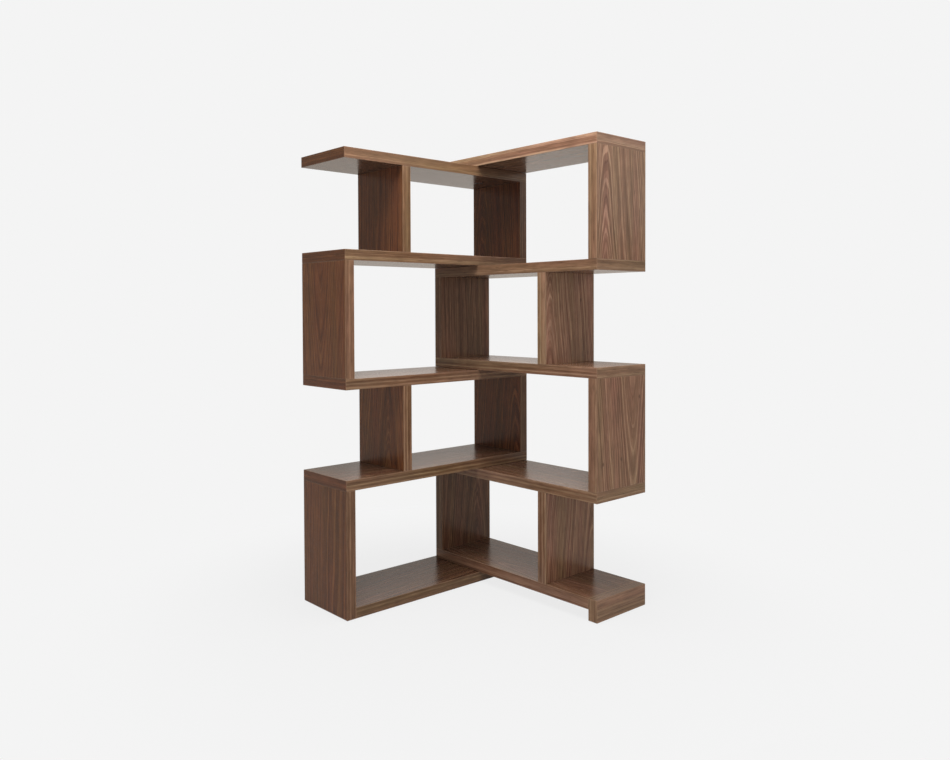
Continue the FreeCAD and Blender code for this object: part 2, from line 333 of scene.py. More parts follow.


# Finishes

# Walnut: its plain colours, its dark marks, its rubbed edges with a painted highlight along them, its tones
# along the figure, and how fast green and blue follow a change of tone, from board to board and from line to
# line
VENEER_COLOUR = Vector((0.215, 0.104, 0.057))
LIPPING_COLOUR = Vector((0.225, 0.120, 0.066))
DARK_GRAIN = (0.060, 0.026, 0.015)
RUBBED_AND_LIT_WOOD = (0.36, 0.22, 0.14)
LINE_TONES = ((0.05, 0.42), (0.30, 0.74), (0.50, 1.00), (0.70, 1.28), (0.95, 1.80))
BOARD_GREYING = (1.0, 1.2, 1.4)
LINE_GREYING = (1.0, 1.28, 1.40)


def shade(tone, greying):
    """The colour that brings plain walnut to a tone: paler wood is greyer, and darker wood redder."""
    return Vector([tone ** power for power in greying])


def tones_of(colour, contrast):
    """The tones of a wood from its dark lines to its pale ones."""
    return [(place, tuple(colour * shade(tone ** contrast, LINE_GREYING))) for place, tone in LINE_TONES]


def walnut(name, tones, line_spacing, sway, knot_strength, gloss):
    """Satin lacquered walnut whose grain follows the piece's own map."""
    material, tree, shader = new_finish(name)
    shader.inputs["Specular IOR Level"].default_value = 0.25
    grain = tree.add("ShaderNodeUVMap", uv_map=GRAIN_MAP).outputs["UV"]
    arris = tree.add("ShaderNodeAttribute", attribute_name=ARRIS_LAYER).outputs["Fac"]
    log = tree.add("ShaderNodeAttribute", attribute_name=SLICE_LAYER).outputs["Vector"]
    figure = tree.use(growth_figure, {
        "Grain": grain, "Slice": log, "Line Spacing": line_spacing, "Sway": sway,
    })["Figure"]
    pores = tree.use(open_pores, {"Grain": grain})
    streaks = tree.use(mineral_streaks, {"Grain": grain})
    knots = tree.use(pin_knots, {"Grain": grain})["Knots"]
    wear_and_highlight = tree.use(edge_wear_and_highlight, {"Arris": arris, "Grain": grain})["Wear And Highlight"]

    colour = tree.ramp(figure, tones)
    # The face's tone, which carries painted light and shade as well as the wood's own tone
    tone = tree.add("ShaderNodeAttribute", attribute_name=TONE_AND_SHADE_LAYER).outputs["Color"]
    colour = tree.blend(1.0, colour, tone, "MULTIPLY")
    shades = (
        (streaks["Hue"], (0.30, (0.95, 1.04, 0.96)), (0.70, (1.05, 0.96, 1.04))),
        (streaks["Stripes"], (0.30, (0.78, 0.77, 0.76)), (0.70, (1.22, 1.23, 1.24))),
        (streaks["Shimmer"], (0.30, (0.96, 0.96, 0.96)), (0.70, (1.04, 1.04, 1.04))),
        (pores["Fibre"], (0.30, (0.78, 0.77, 0.76)), (0.70, (1.22, 1.23, 1.24))),
    )
    for value, low, high in shades:
        colour = tree.blend(1.0, colour, tree.ramp(value, [low, high]), "MULTIPLY")
    marks = (
        (streaks["Streaks"], 0.32), (pores["Flecks"], 0.50), (pores["Pores"], 0.35), (knots, knot_strength),
    )
    for mark, strength in marks:
        colour = tree.blend(tree.math("MULTIPLY", mark, strength), colour, (*DARK_GRAIN, 1.0))
    # Paler wood along the arrises: partly rubbed wear, partly a painted highlight where the edges catch the
    # light
    colour = tree.blend(tree.math("MULTIPLY", wear_and_highlight, 0.4), colour, (*RUBBED_AND_LIT_WOOD, 1.0))
    tree.feed(shader.inputs["Base Color"], colour)

    sheen = tree.math("MULTIPLY_ADD", pores["Fibre"], 0.10, gloss - 0.05)
    sheen = tree.math("MULTIPLY_ADD", pores["Pores"], 0.14, sheen)
    sheen = tree.math("MULTIPLY_ADD", wear_and_highlight, -0.06, sheen)
    tree.feed(shader.inputs["Roughness"], sheen)
    height = tree.math("MULTIPLY_ADD", pores["Pores"], -1.0, tree.math("MULTIPLY", pores["Fibre"], 0.35))
    bump = tree.add("ShaderNodeBump", {"Height": height, "Strength": 0.25, "Distance": 0.15 * MM})
    tree.feed(shader.inputs["Normal"], bump.outputs["Normal"])
    return material


def object_place(tree):
    """The piece's own coordinates."""
    return tree.add("ShaderNodeTexCoord").outputs["Object"]


def board_core():
    """Pressed wood strands inside the boards, seen only in the bores."""
    material, tree, shader = new_finish("board_core", roughness=0.85)
    place = object_place(tree)
    chips = tree.add(
        "ShaderNodeTexVoronoi", {"Vector": tree.stretch(place, (260.0, 420.0, 700.0)), "Scale": 1.0}
    ).outputs
    chip = tree.add("ShaderNodeSeparateColor", {"Color": chips["Color"]}).outputs["Green"]
    strands = [(0.0, (0.23, 0.14, 0.075)), (0.5, (0.40, 0.27, 0.15)), (1.0, (0.55, 0.41, 0.25))]
    tree.feed(shader.inputs["Base Color"], tree.ramp(chip, strands))
    bump = tree.add("ShaderNodeBump", {"Height": chips["Distance"], "Strength": 0.5, "Distance": 0.3 * MM})
    tree.feed(shader.inputs["Normal"], bump.outputs["Normal"])
    return material


def beech():
    """Turned beech with fine rays and flecks."""
    material, tree, shader = new_finish("beech")
    place = object_place(tree)
    fleck = tree.noise(place, (900.0, 900.0, 120.0), detail=2.0)
    cloud = tree.noise(place, (60.0, 60.0, 25.0), detail=2.0)
    colour = tree.ramp(cloud, [(0.3, (0.46, 0.29, 0.15)), (0.7, (0.62, 0.43, 0.25))])
    specks = tree.ramp(fleck, [(0.35, (0.78, 0.74, 0.70)), (0.6, (1.05, 1.05, 1.05))])
    tree.feed(shader.inputs["Base Color"], tree.blend(1.0, colour, specks, "MULTIPLY"))
    tree.feed(shader.inputs["Roughness"], tree.span(fleck, 0.2, 0.8, 0.55, 0.75))
    bump = tree.add("ShaderNodeBump", {"Height": fleck, "Strength": 0.3, "Distance": 0.1 * MM})
    tree.feed(shader.inputs["Normal"], bump.outputs["Normal"])
    return material


def metal(name, colours, rough, smear):
    """Turned metal with fine lathe marks round its axis and a mottled plating."""
    material, tree, shader = new_finish(name, metallic=1.0)
    place = object_place(tree)
    marks = tree.noise(place, (40.0, 40.0, 5200.0), detail=2.0)
    mottle = tree.noise(place, (smear, smear, smear), detail=3.0)
    tree.feed(shader.inputs["Base Color"], tree.ramp(mottle, [(0.3, colours[0]), (0.7, colours[1])]))
    tree.feed(shader.inputs["Roughness"], tree.span(mottle, 0.2, 0.8, rough - 0.08, rough + 0.08))
    bump = tree.add("ShaderNodeBump", {"Height": marks, "Strength": 0.2, "Distance": 0.05 * MM})
    tree.feed(shader.inputs["Normal"], bump.outputs["Normal"])
    return material


def moulded(name, colours, rough):
    """Moulded plastic with a fine spark-eroded texture."""
    material, tree, shader = new_finish(name)
    place = object_place(tree)
    texture = tree.noise(place, (2600.0, 2600.0, 2600.0), detail=2.0)
    cloud = tree.noise(place, (90.0, 90.0, 90.0), detail=2.0)
    tree.feed(shader.inputs["Base Color"], tree.ramp(cloud, [(0.3, colours[0]), (0.7, colours[1])]))
    tree.feed(shader.inputs["Roughness"], tree.span(texture, 0.2, 0.8, rough - 0.06, rough + 0.06))
    bump = tree.add("ShaderNodeBump", {"Height": texture, "Strength": 0.35, "Distance": 0.06 * MM})
    tree.feed(shader.inputs["Normal"], bump.outputs["Normal"])
    return material


def felt():
    """Pressed felt with matted fibres."""
    material, tree, shader = new_finish("felt")
    shader.inputs["Sheen Weight"].default_value = 0.4
    place = object_place(tree)
    mat = tree.noise(place, (1400.0, 1400.0, 1400.0), detail=4.0, distortion=2.0)
    cloud = tree.noise(place, (180.0, 180.0, 180.0), detail=2.0)
    colour = tree.ramp(mat, [(0.3, (0.012, 0.009, 0.008)), (0.7, (0.055, 0.042, 0.036))])
    patches = tree.ramp(cloud, [(0.3, (0.85, 0.85, 0.85)), (0.7, (1.1, 1.1, 1.1))])
    tree.feed(shader.inputs["Base Color"], tree.blend(1.0, colour, patches, "MULTIPLY"))
    tree.feed(shader.inputs["Roughness"], tree.span(mat, 0.2, 0.8, 0.88, 1.0))
    bump = tree.add("ShaderNodeBump", {"Height": mat, "Strength": 0.8, "Distance": 0.4 * MM})
    tree.feed(shader.inputs["Normal"], bump.outputs["Normal"])
    return material


walnut_veneer = walnut(
    "walnut_veneer", tones_of(VENEER_COLOUR, 0.9),
    line_spacing=9.0 * MM, sway=40.0 * MM, knot_strength=0.7, gloss=0.23,
)
walnut_lipping = walnut(
    "walnut_lipping", tones_of(LIPPING_COLOUR, 0.7),
    line_spacing=7.0 * MM, sway=6.0 * MM, knot_strength=0.0, gloss=0.25,
)
core = board_core()
dowel_beech = beech()
pivot_steel = metal("pivot_steel", [(0.52, 0.52, 0.53), (0.66, 0.66, 0.67)], rough=0.32, smear=300.0)
insert_brass = metal("insert_brass", [(0.62, 0.44, 0.18), (0.76, 0.57, 0.26)], rough=0.28, smear=240.0)
bush_nylon = moulded("bush_nylon", [(0.62, 0.59, 0.52), (0.70, 0.67, 0.60)], rough=0.5)
cap_plastic = moulded("cap_plastic", [(0.040, 0.021, 0.013), (0.062, 0.033, 0.020)], rough=0.48)
pad_felt = felt()


# Pieces

def wing_axes(wing):
    """The directions along a wing and across it."""
    return (X, Y) if wing == "left" else (Y, X)


def new_piece(name, mesh, materials):
    """An object made from a bmesh."""
    data = bpy.data.meshes.new(name)
    mesh.to_mesh(data)
    mesh.free()
    for material in materials:
        data.materials.append(material)
    piece = bpy.data.objects.new(name, data)
    bpy.context.scene.collection.objects.link(piece)
    return piece


def settle(piece, body, slot, *nodes):
    """Smooths a finished piece and puts it on its body in place of its solids."""
    piece.data.shade_smooth()
    piece.data.set_sharp_from_angle(angle=SHARP_ANGLE)
    normals = piece.modifiers.new("flat_faces", "WEIGHTED_NORMAL")
    normals.keep_sharp = True
    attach(piece, body)
    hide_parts(*nodes)


def carve(piece, cutter):
    """Cuts a bmesh's solids out of a piece."""
    tool = new_piece("cutter", cutter, piece.data.materials)
    cut = piece.modifiers.new("cut", "BOOLEAN")
    cut.operation = "DIFFERENCE"
    cut.solver = "EXACT"
    cut.object = tool
    result = piece.evaluated_get(bpy.context.evaluated_depsgraph_get())
    spent = (piece.data, tool.data)
    piece.data = bpy.data.meshes.new_from_object(result)
    piece.modifiers.remove(cut)
    bpy.data.objects.remove(tool)
    for mesh in spent:
        bpy.data.meshes.remove(mesh)
    piece.data.name = piece.name


def turn(mesh, section, base, steps=TURNED_STEPS):
    """Turns a half section, given as pairs of radius and height, about an upright axis through base."""
    corners = [mesh.verts.new(base + Vector((radius, 0, height))) for radius, height in section]
    edges = [mesh.edges.new(pair) for pair in zip(corners, corners[1:])]
    if section[0][0] > 0:
        edges.append(mesh.edges.new((corners[-1], corners[0])))
    bmesh.ops.spin(
        mesh, geom=corners + edges, cent=base, axis=UPRIGHT, angle=math.tau, steps=steps, use_merge=True,
    )


def close_turned(mesh):
    """Merges the seams and poles of turned shapes and points their faces outwards."""
    bmesh.ops.remove_doubles(mesh, verts=mesh.verts[:], dist=MERGE_DISTANCE)
    bmesh.ops.dissolve_degenerate(mesh, edges=mesh.edges[:], dist=MERGE_DISTANCE)
    bmesh.ops.recalc_face_normals(mesh, faces=mesh.faces[:])


def lie_along(place, axis):
    """The move that lays an upright piece along an axis, with its middle at a place."""
    return Matrix.Translation(place) @ UPRIGHT.rotation_difference(axis).to_matrix().to_4x4()


def rod(mesh, place, axis, radius, length, sides):
    """A plain bar along an axis, with its middle at a place."""
    bmesh.ops.create_cone(
        mesh, cap_ends=True, segments=sides, radius1=radius, radius2=radius, depth=length,
        matrix=lie_along(place, axis),
    )


# Boards

# How pale each board is beside plain walnut, which is 1: partly each board's own tone, partly painted light
# and shade. The corner panels and the lowest left shelf are painted darker where shade falls, and the right
# wing is painted paler, most near its top, where the light falls
BOARD_TONES_AND_SHADE = {
    "left_shelf_1": 0.75,
    "left_shelf_2": 0.90,
    "left_shelf_3": 1.00,
    "left_shelf_4": 0.95,
    "left_shelf_5": 0.85,
    "left_end_panel_lower": 0.85,
    "left_divider_lower": 1.00,
    "left_corner_panel_lower": 0.70,
    "left_end_panel_upper": 1.00,
    "left_divider_upper": 0.90,
    "left_corner_panel_upper": 0.65,
    "right_shelf_1": 1.10,
    "right_shelf_2": 1.10,
    "right_shelf_3": 1.20,
    "right_shelf_4": 1.10,
    "right_shelf_5": 1.30,
    "right_end_panel_lower": 1.15,
    "right_divider_lower": 1.15,
    "right_corner_panel_lower": 0.70,
    "right_end_panel_upper": 1.20,
    "right_divider_upper": 1.40,
    "right_corner_panel_upper": 0.90,
    "right_foot_board": 1.10,
}

# Faces that look up or down are painted darker than upright ones: painted shade
LEVEL_FACE_SHADE = 0.65

# The left wing's faces that face along it, on the uprights and the shelf ends, are painted redder and darker
# than the rest: painted shade that takes the grey of sheen off that side
SHADED_SIDE_VENEER = Vector((0.96, 0.68, 0.43))
SHADED_SIDE_LIPPING = Vector((0.78, 0.50, 0.33))

# Where the heart of the log runs in an upright's veneer, as a share of its depth from the front, and the
# log's taper, which is positive where the arches point up
HEARTS = {
    "left_end_panel_lower": (-0.30, 0.03),
    "left_divider_lower": (0.35, 0.10),
    "left_corner_panel_lower": (0.10, 0.10),
    "left_end_panel_upper": (0.55, -0.10),
    "left_divider_upper": (-0.40, 0.03),
    "left_corner_panel_upper": (0.80, 0.08),
    "right_end_panel_lower": (0.73, -0.10),
    "right_divider_lower": (0.97, 0.09),
    "right_corner_panel_lower": (0.72, 0.10),
    "right_end_panel_upper": (0.18, 0.10),
    "right_divider_upper": (0.10, 0.10),
    "right_corner_panel_upper": (-0.40, 0.03),
}

# A shelf's log has its heart anywhere, and a lipping is cut well away from the heart
SHELF_TAPER = 0.10
LIPPING_HEART = (2.0, 0.0)


def board_names():
    """Every board's node, with its wing and kind."""
    for name in frame["nodes"]:
        wing = name.split("_")[0]
        if "_shelf_" in name:
            yield name, wing, "shelf"
        elif "panel" in name or "divider" in name:
            yield name, wing, "upright"
        elif "foot_board" in name:
            yield name, wing, "foot"


def dowel_places():
    """The place and direction of every dowel in each wing, from the joints between the boards."""
    places = {"left": [], "right": []}
    for name, wing, kind in board_names():
        if kind == "shelf":
            continue
        along, across = wing_axes(wing)
        low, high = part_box(name)
        front, back = low[across], high[across]
        rows = (front + DOWEL_EDGE_INSET, (front + back) / 2, back - DOWEL_EDGE_INSET)
        covers_end = name in ("left_end_panel_lower", "right_foot_board")
        for row in rows:
            middle = Vector()
            middle[across] = row
            if covers_end:
                shelf_low, shelf_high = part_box(f"{wing}_shelf_1")
                middle[along] = high[along]
                middle.z = (shelf_low.z + shelf_high.z) / 2
                level = Vector()
                level[along] = 1
                places[wing].append((middle.copy(), level))
            middle[along] = (low[along] + high[along]) / 2
            ends = [] if kind == "foot" else [high.z]
            if not covers_end:
                ends.append(low.z)
            for end in ends:
                middle.z = end
                places[wing].append((middle.copy(), UPRIGHT))
    return places


dowels = dowel_places()


def grain_direction(kind, facing, along, across):
    """The direction that the grain runs on a board's face."""
    if kind == "shelf":
        return across if facing == along else along
    if kind == "foot":
        return Z if facing == across else across
    return across if facing == Z else Z


def is_broad(kind, facing, along):
    """True on the two veneered faces of a board. The small foot board is solid wood and has none."""
    return kind != "foot" and facing == (Z if kind == "shelf" else along)


def face_tone_and_shade(name, wing, kind, facing, along):
    """The tone of one of a board's faces, with the painted light and shade it carries, as a colour to
    multiply the wood by.
    """
    colour = shade(BOARD_TONES_AND_SHADE[name], BOARD_GREYING)
    if facing == Z:
        # Painted shade on faces that look up or down
        return colour * LEVEL_FACE_SHADE
    if wing == "left" and facing == along:
        # Painted shade on the left wing's faces that face along it
        return colour * (SHADED_SIDE_LIPPING if kind == "shelf" else SHADED_SIDE_VENEER)
    return colour


def lay_grain(piece, name, wing, kind):
    """Gives each face of a board its finish and its place on the grain map."""
    along, across = wing_axes(wing)
    low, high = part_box(name)
    mesh = bmesh.new()
    mesh.from_mesh(piece.data)
    grain_map = mesh.loops.layers.uv.new(GRAIN_MAP)
    arris = mesh.verts.layers.float.new(ARRIS_LAYER)
    tone = mesh.faces.layers.float_vector.new(TONE_AND_SHADE_LAYER)
    log = mesh.faces.layers.float_vector.new(SLICE_LAYER)

    def near_side(place, axis, distance):
        return min(place[axis] - low[axis], high[axis] - place[axis]) < distance

    for vert in mesh.verts:
        vert[arris] = float(sum(near_side(vert.co, axis, ARRIS_REACH) for axis in (X, Y, Z)) >= 2)
    for face in mesh.faces:
        if face.material_index == CORE:
            continue
        facing = max((X, Y, Z), key=lambda axis: abs(face.normal[axis]))
        grain = grain_direction(kind, facing, along, across)
        middle = face.calc_center_median()
        strip = LIPPING
        if is_broad(kind, facing, along):
            if not near_side(middle, across, LIPPING_THICKNESS):
                strip = VENEER
            if kind == "shelf" and near_side(middle, along, LIPPING_THICKNESS):
                strip = LIPPING
                grain = across
        face.material_index = strip
        # Each face's tone carries painted light and shade as well as the board's own tone
        face[tone] = face_tone_and_shade(name, wing, kind, facing, along)
        draw = random.Random(f"{name} {facing} {face.normal[facing] > 0} {strip} {grain}")
        start = (draw.uniform(0, GRAIN_SPREAD), draw.uniform(0, GRAIN_SPREAD))
        sideways = X + Y + Z - facing - grain
        share, taper = LIPPING_HEART
        if strip == VENEER:
            share, taper = HEARTS.get(name, (draw.uniform(0, 1), SHELF_TAPER))
        heart = low[sideways] + share * (high[sideways] - low[sideways]) + start[1]
        face[log] = (heart, taper, draw.uniform(0, SLICE_SPREAD))
        for loop in face.loops:
            loop[grain_map].uv = (loop.vert.co[grain] + start[0], loop.vert.co[sideways] + start[1])
    mesh.to_mesh(piece.data)
    mesh.free()


def pivot_bodies(level):
    """The wings that carry the lower and the upper half of a level's pivot."""
    return ("left_wing", "right_wing") if level % 2 else ("right_wing", "left_wing")


def node_radius(node):
    """The radius of an upright round solid."""
    low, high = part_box(node)
    return (high.x - low.x) / 2


def pivot_bore(mesh, name, wing):
    """The stepped bore that a shelf has for its pivot."""
    level = int(name[-1])
    low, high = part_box(name)
    past = LIPPING_THICKNESS
    if f"{wing}_wing" == pivot_bodies(level)[0]:
        bush_low, bush_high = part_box(f"pivot_bush_{level}")
        cap_radius = node_radius(f"pivot_cap_{level}") + HOLE_ROOM
        flange_radius = node_radius(f"pivot_bush_{level}") + HOLE_ROOM
        sleeve_radius = SLEEVE_RADIUS + HOLE_ROOM
        flange_seat = bush_high.z - FLANGE_THICKNESS
        section = [
            (0, low.z - past), (cap_radius, low.z - past), (cap_radius, low.z + CAP_THICKNESS),
            (WELL_RADIUS, low.z + CAP_THICKNESS), (WELL_RADIUS, bush_low.z), (sleeve_radius, bush_low.z),
            (sleeve_radius, flange_seat), (flange_radius, flange_seat), (flange_radius, high.z + past),
            (0, high.z + past),
        ]
    else:
        insert_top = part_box(f"pivot_insert_{level}")[1].z
        insert_radius = node_radius(f"pivot_insert_{level}") + HOLE_ROOM
        section = [
            (0, low.z - past), (insert_radius, low.z - past), (insert_radius, insert_top), (0, insert_top),
        ]
    turn(mesh, section, pivot_foot)
    close_turned(mesh)


def make_board(name, wing, kind):
    """A veneered board: eased arrises, lippings round its edges, and its dowel and pivot bores."""
    low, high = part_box(name)
    mesh = bmesh.new()
    bmesh.ops.create_cube(mesh, size=1)
    bmesh.ops.scale(mesh, vec=high - low, verts=mesh.verts)
    bmesh.ops.translate(mesh, vec=(low + high) / 2, verts=mesh.verts)
    bmesh.ops.bevel(
        mesh, geom=mesh.edges[:], offset=ARRIS_RADIUS, offset_type="OFFSET", affect="EDGES",
        segments=ARRIS_STEPS, profile=0.5, material=-1,
    )
    for axis in (X, Y, Z):
        normal = Vector()
        normal[axis] = 1
        for place in (low[axis] + LIPPING_THICKNESS, high[axis] - LIPPING_THICKNESS):
            whole = mesh.verts[:] + mesh.edges[:] + mesh.faces[:]
            bmesh.ops.bisect_plane(mesh, geom=whole, plane_co=normal * place, plane_no=normal)
    piece = new_piece(f"{name}_board", mesh, (walnut_veneer, walnut_lipping, core))

    cutter = bmesh.new()
    hole_length = DOWEL_LENGTH + 2 * HOLE_END_ROOM
    for place, axis in dowels[wing]:
        if all(low[i] - MM < place[i] < high[i] + MM for i in (X, Y, Z)):
            rod(cutter, place, axis, DOWEL_RADIUS + HOLE_ROOM, hole_length, HOLE_SIDES)
    if kind == "shelf":
        pivot_bore(cutter, name, wing)
    for face in cutter.faces:
        face.material_index = CORE
    carve(piece, cutter)
    lay_grain(piece, name, wing, kind)
    settle(piece, f"{wing}_wing", "walnut", name)


for name, wing, kind in list(board_names()):
    make_board(name, wing, kind)


# Dowels, pads and pivots

def make_dowels(wing):
    """A wing's fluted dowels, chamfered at both ends."""
    mesh = bmesh.new()
    taper = 1 - DOWEL_CHAMFER / DOWEL_RADIUS
    flute = 1 - FLUTE_DEPTH / DOWEL_RADIUS
    rises = (
        (DOWEL_CHAMFER, 1 / taper),
        (DOWEL_LENGTH - 2 * DOWEL_CHAMFER, 1),
        (DOWEL_CHAMFER, taper),
    )
    for place, axis in dowels[wing]:
        ring = bmesh.ops.create_circle(
            mesh, cap_ends=True, segments=2 * FLUTES, radius=DOWEL_RADIUS * taper,
        )["verts"]
        bmesh.ops.scale(mesh, vec=(flute, flute, 1), verts=ring[::2])
        bmesh.ops.translate(mesh, vec=(0, 0, -DOWEL_LENGTH / 2), verts=ring)
        verts = list(ring)
        end = ring[0].link_faces[0]
        keep = True
        for rise, factor in rises:
            grown = bmesh.ops.extrude_face_region(mesh, geom=[end], use_keep_orig=keep)["geom"]
            rim = [part for part in grown if isinstance(part, bmesh.types.BMVert)]
            end = next(part for part in grown if isinstance(part, bmesh.types.BMFace))
            bmesh.ops.translate(mesh, vec=(0, 0, rise), verts=rim)
            bmesh.ops.scale(mesh, vec=(factor, factor, 1), verts=rim)
            verts += rim
            keep = False
        bmesh.ops.transform(mesh, matrix=lie_along(place, axis), verts=verts)
    bmesh.ops.recalc_face_normals(mesh, faces=mesh.faces[:])
    piece = new_piece(f"{wing}_fluted_dowels", mesh, (dowel_beech,))
    settle(piece, f"{wing}_wing", "beech", f"{wing}_dowels")


def make_pads(wing, places):
    """A wing's felt pads: discs with a soft pressed rim."""
    mesh = bmesh.new()
    low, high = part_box(f"{wing}_pads")
    for x, y in places:
        section = [(0, low.z), (PAD_RADIUS - PAD_EDGE, low.z)]
        for angle in PAD_EDGE_ANGLES:
            pull_in = PAD_EDGE * (1 - math.sin(angle))
            lift = PAD_EDGE * (1 - math.cos(angle))
            section.append((PAD_RADIUS - pull_in, low.z + lift))
        section += [(PAD_RADIUS, high.z), (0, high.z)]
        turn(mesh, section, Vector((x, y, 0)), PAD_STEPS)
    close_turned(mesh)
    piece = new_piece(f"{wing}_felt_pads", mesh, (pad_felt,))
    settle(piece, f"{wing}_wing", "felt", f"{wing}_pads")


def turned_piece(name, section, material):
    """A piece turned about the pivot axis."""
    mesh = bmesh.new()
    turn(mesh, section, pivot_foot)
    close_turned(mesh)
    return new_piece(name, mesh, (material,))


def make_cap(level):
    """A cover cap: a dished face with a raised rim, and a skirt that clips into the well."""
    node = f"pivot_cap_{level}"
    low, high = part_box(node)
    radius = node_radius(node)
    skirt = WELL_RADIUS - HOLE_ROOM
    seat = low.z + CAP_THICKNESS
    section = [
        (0, low.z + CAP_DISH), (radius - CAP_RIM - CAP_DISH, low.z + CAP_DISH), (radius - CAP_RIM, low.z),
        (radius - RIM_CHAMFER, low.z), (radius, low.z + RIM_CHAMFER), (radius, seat),
        (skirt, seat), (skirt, high.z - RIM_CHAMFER), (skirt - RIM_CHAMFER / 2, high.z),
        (skirt - SKIRT_WALL, high.z), (skirt - SKIRT_WALL, seat), (0, seat),
    ]
    piece = turned_piece(f"cover_cap_{level}", section, cap_plastic)
    settle(piece, pivot_bodies(level)[0], "cap_plastic", node)


def make_bush(level):
    """A flanged bush whose broad flange carries the shelf above."""
    node = f"pivot_bush_{level}"
    low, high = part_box(node)
    radius = node_radius(node)
    bore = SHOULDER_RADIUS + RUNNING_CLEARANCE
    seat = high.z - FLANGE_THICKNESS
    ease = RIM_CHAMFER / 2
    section = [
        (bore + ease, low.z), (SLEEVE_RADIUS - ease, low.z), (SLEEVE_RADIUS, low.z + ease),
        (SLEEVE_RADIUS, seat), (radius, seat), (radius, high.z - ease), (radius - ease, high.z),
        (bore + ease, high.z), (bore, high.z - ease), (bore, low.z + ease),
    ]
    piece = turned_piece(f"flanged_bush_{level}", section, bush_nylon)
    settle(piece, pivot_bodies(level)[0], "bush_nylon", node)


def ridges(radius, low, high, pitch, depth):
    """A stepped outline that runs up a threaded or ribbed length."""
    count = int((high - low) / pitch)
    step = (high - low) / count
    outline = []
    for ridge in range(count):
        foot = low + ridge * step
        outline.append((radius - depth, foot))
        outline += [(radius, foot + step * share) for share in RIDGE_CREST_SHARES]
    return outline + [(radius - depth, high)]


def make_bolt(level):
    """A shoulder bolt with a hexagon socket and a threaded end."""
    node = f"pivot_bolt_{level}"
    low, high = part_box(node)
    radius = node_radius(node)
    head = low.z + HEAD_HEIGHT
    shoulder = high.z - THREAD_LENGTH
    section = [
        (0, low.z), (radius - RIM_CHAMFER, low.z), (radius, low.z + RIM_CHAMFER),
        (radius, head - RIM_CHAMFER / 2), (radius - RIM_CHAMFER / 2, head),
        (SHOULDER_RADIUS, head), (SHOULDER_RADIUS, shoulder - RIM_CHAMFER / 2),
        (SHOULDER_RADIUS - RIM_CHAMFER / 2, shoulder),
    ]
    section += ridges(THREAD_RADIUS, shoulder, high.z, THREAD_PITCH, THREAD_DEPTH)
    section += [(0, high.z)]
    piece = turned_piece(f"shoulder_bolt_{level}", section, pivot_steel)
    socket = bmesh.new()
    mouth = pivot_foot + UPRIGHT * low.z
    rod(socket, mouth, UPRIGHT, SOCKET_RADIUS, 2 * SOCKET_DEPTH, SOCKET_SIDES)
    carve(piece, socket)
    settle(piece, pivot_bodies(level)[1], "pivot_steel", node)


def make_insert(level):
    """A threaded insert with coarse ribs that grip the wood, sunk a little below its face."""
    node = f"pivot_insert_{level}"
    low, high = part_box(node)
    radius = node_radius(node)
    foot = low.z + INSERT_SINK
    section = ridges(radius, foot, high.z, INSERT_RIB_PITCH, INSERT_RIB_DEPTH)
    section += [(THREAD_RADIUS + RIM_CHAMFER, high.z), (THREAD_RADIUS, high.z - RIM_CHAMFER)]
    section += [(THREAD_RADIUS, foot + RIM_CHAMFER), (THREAD_RADIUS + RIM_CHAMFER, foot)]
    piece = turned_piece(f"threaded_insert_{level}", section, insert_brass)
    settle(piece, pivot_bodies(level)[1], "insert_brass", node)


def pad_places():
    """Where the pads sit: under the corners of the left wing's lowest shelf and under the right foot."""
    low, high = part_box("left_shelf_1")
    left = [
        (x, y)
        for x in (low.x + PAD_INSET, high.x - PAD_INSET)
        for y in (low.y + PAD_INSET, high.y - PAD_INSET)
    ]
    low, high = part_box("right_foot_board")
    right = [(x, (low.y + high.y) / 2) for x in (low.x + PAD_INSET, high.x - PAD_INSET)]
    return left, right


left_pad_places, right_pad_places = pad_places()
make_pads("left", left_pad_places)
make_pads("right", right_pad_places)
make_dowels("left")
make_dowels("right")
for level in LEVELS:
    make_cap(level)
    make_bush(level)
    make_bolt(level)
    make_insert(level)


# Stage

# The photograph's frame in pixels, and the camera's place and aim
PHOTO_WIDTH, PHOTO_HEIGHT = 950, 760
FOCAL_PIXELS = 823.63
LENS_AXIS_PIXEL = (434.65, 326.52)
CAMERA_PLACE = Vector((-2.2272, -2.3682, 1.1680))
CAMERA_HEADING = math.radians(49.3673)
CAMERA_PITCH = math.radians(-1.2110)
CAMERA_ROLL = math.radians(-0.2607)
SENSOR_WIDTH = 36.0

# The pale surround: as the camera sees it, and as the lacquer mirrors the walls and the floor
BACKGROUND = (0.905, 0.905, 0.905, 1.0)
MIRRORED = (0.58, 0.53, 0.48, 1.0)
MIRRORED_FLOOR = (0.80, 0.735, 0.66, 1.0)
FILL_STRENGTH = 0.20

FLOOR_REACH = 40.0
FLOOR_PAINT = (0.72, 0.72, 0.72, 1.0)
SHADOW_START = 0.5
SHADOW_REACH = 1.6
SHADOW_STRENGTH = 0.11

# Each softbox's place and power
SOFTBOXES = {
    "top_softbox": ((-0.25, -0.35, 3.0), 85.0),
    "right_softbox": ((2.2, -2.3, 2.6), 10.0),
    "low_softbox": ((-0.4, -1.3, 0.7), 5.0),
    "back_softbox": ((2.4, 2.6, 2.4), 10.0),
}
SOFTBOX_SIZE = 2.0
LIGHT_TARGET = Vector((0.1, 0.1, 0.9))


